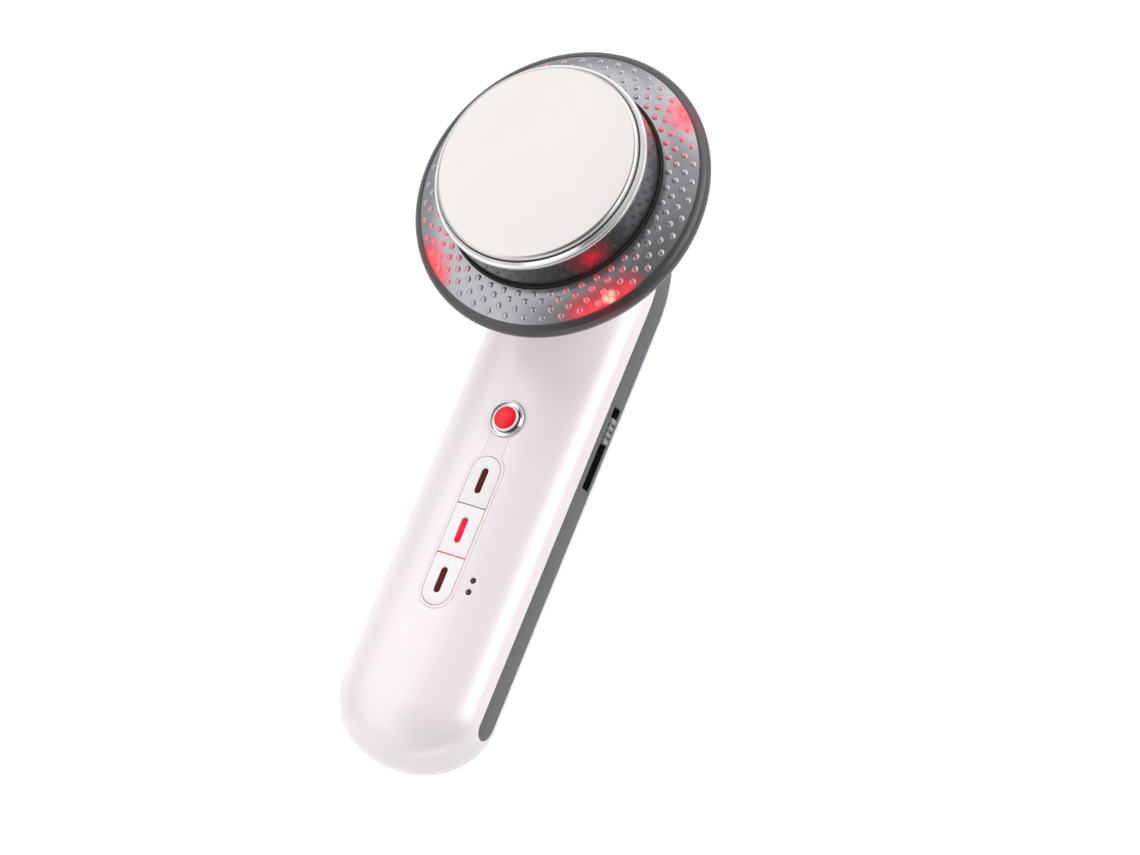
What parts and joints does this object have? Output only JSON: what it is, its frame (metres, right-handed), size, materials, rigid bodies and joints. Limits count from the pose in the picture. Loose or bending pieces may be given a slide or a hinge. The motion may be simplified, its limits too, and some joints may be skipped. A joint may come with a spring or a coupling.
{
  "type": "facial treatment machine",
  "caption": "Hand-held facial treatment machine: oval handle with power button, key strip and slide switch, and a round steel treatment plate in a smoked light ring.",
  "frame": {"origin": "middle of the bounding box's underside, on the flat back of the handle", "axes": "+Z out of the control side, +Y along the handle towards the treatment head, +X towards the slide switch"},
  "size_m": [0.074, 0.1741, 0.0589],
  "materials": {
    "pearl_shell": "glossy pearl white",
    "grey_band": "satin grey",
    "smoked_ring": "smoked, dimpled, glossy",
    "smoked_collar": "smoked, glossy",
    "black_seal": "matt black",
    "probe_steel": "satin steel",
    "bezel_steel": "bright steel",
    "chrome_ring": "mirror bright",
    "button_white": "glossy white",
    "red_lens": "glossy red, translucent",
    "panel_pink": "glossy pale pink",
    "key_white": "satin white",
    "window_red": "glossy red, translucent",
    "knob_grey": "satin grey",
    "black_plastic": "black",
    "dark_plastic": "dark grey",
    "plunger_ivory": "ivory",
    "ceramic": "fired ceramic",
    "circuit_board": "green board",
    "lamp_red": "clear red",
    "lamp_pale": "pale red",
    "coil": "varnished winding",
    "capacitor_sleeve": "dark blue sleeve",
    "switch_metal": "plain metal",
    "screw_steel": "plated steel",
    "wire_red": "insulated wire",
    "wire_black": "insulated wire",
    "wire_grey": "insulated wire"
  },
  "bodies": {
    "casing": {"collar_seal": "black_seal", "control_chip": "black_plastic", "control_panel": "panel_pink", "cover_screw_1": "screw_steel", "cover_screw_2": "screw_steel", "cover_screw_3": "screw_steel", "cover_screw_4": "screw_steel", "dc_socket": "black_plastic", "drive_inductor": "coil", "ems_lamp": "lamp_pale", "ems_switch": "black_plastic", "front_cover": "pearl_shell", "head_housing": "pearl_shell", "high_lamp_lens": "window_red", "infrared_lamp": "lamp_pale", "infrared_switch": "black_plastic", "insulating_ring": "black_seal", "lamp_board": "circuit_board", "lamp_lead": "wire_grey", "level_switch": "switch_metal", "light_ring": "smoked_ring", "low_lamp_lens": "window_red", "main_board": "circuit_board", "neck_nut": "switch_metal", "piezo_disc": "ceramic", "power_bezel": "chrome_ring", "power_switch": "black_plastic", "probe_bezel": "bezel_steel", "probe_clamp_ring": "dark_plastic", "probe_collar": "smoked_collar", "probe_lead_minus": "wire_black", "probe_lead_plus": "wire_red", "probe_plate": "probe_steel", "rear_cover": "pearl_shell", "ring_lamp_1": "lamp_red", "ring_lamp_2": "lamp_red", "ring_lamp_3": "lamp_red", "ring_lamp_4": "lamp_red", "side_band_left": "grey_band", "side_band_right": "grey_band", "sonic_lamp": "lamp_pale", "sonic_switch": "black_plastic", "supply_capacitor": "capacitor_sleeve", "transformer": "coil"},
    "power": {"power_button": "button_white", "power_lens": "red_lens", "power_plunger": "plunger_ivory"},
    "ems": {"ems_key": "key_white", "ems_window": "window_red", "ems_plunger": "plunger_ivory"},
    "infrared": {"infrared_key": "key_white", "infrared_window": "window_red", "infrared_plunger": "plunger_ivory"},
    "sonic": {"sonic_key": "key_white", "sonic_window": "window_red", "sonic_plunger": "plunger_ivory"},
    "level": {"level_knob": "knob_grey", "level_slider": "black_plastic"}
  },
  "joints": [
    {"name": "power_press", "type": "slide", "parent": "casing", "child": "power", "axis": [0, 0, -1], "range_m": [0, 0.0006], "stiffness_N_per_m": 400},
    {"name": "ems_press", "type": "slide", "parent": "casing", "child": "ems", "axis": [0, 0, -1], "range_m": [0, 0.0006], "stiffness_N_per_m": 400},
    {"name": "infrared_press", "type": "slide", "parent": "casing", "child": "infrared", "axis": [0, 0, -1], "range_m": [0, 0.0006], "stiffness_N_per_m": 400},
    {"name": "sonic_press", "type": "slide", "parent": "casing", "child": "sonic", "axis": [0, 0, -1], "range_m": [0, 0.0006], "stiffness_N_per_m": 400},
    {"name": "level_slide", "type": "slide", "parent": "casing", "child": "level", "axis": [0, 1, 0], "range_m": [-0.0117, 0.0024]}
  ]
}
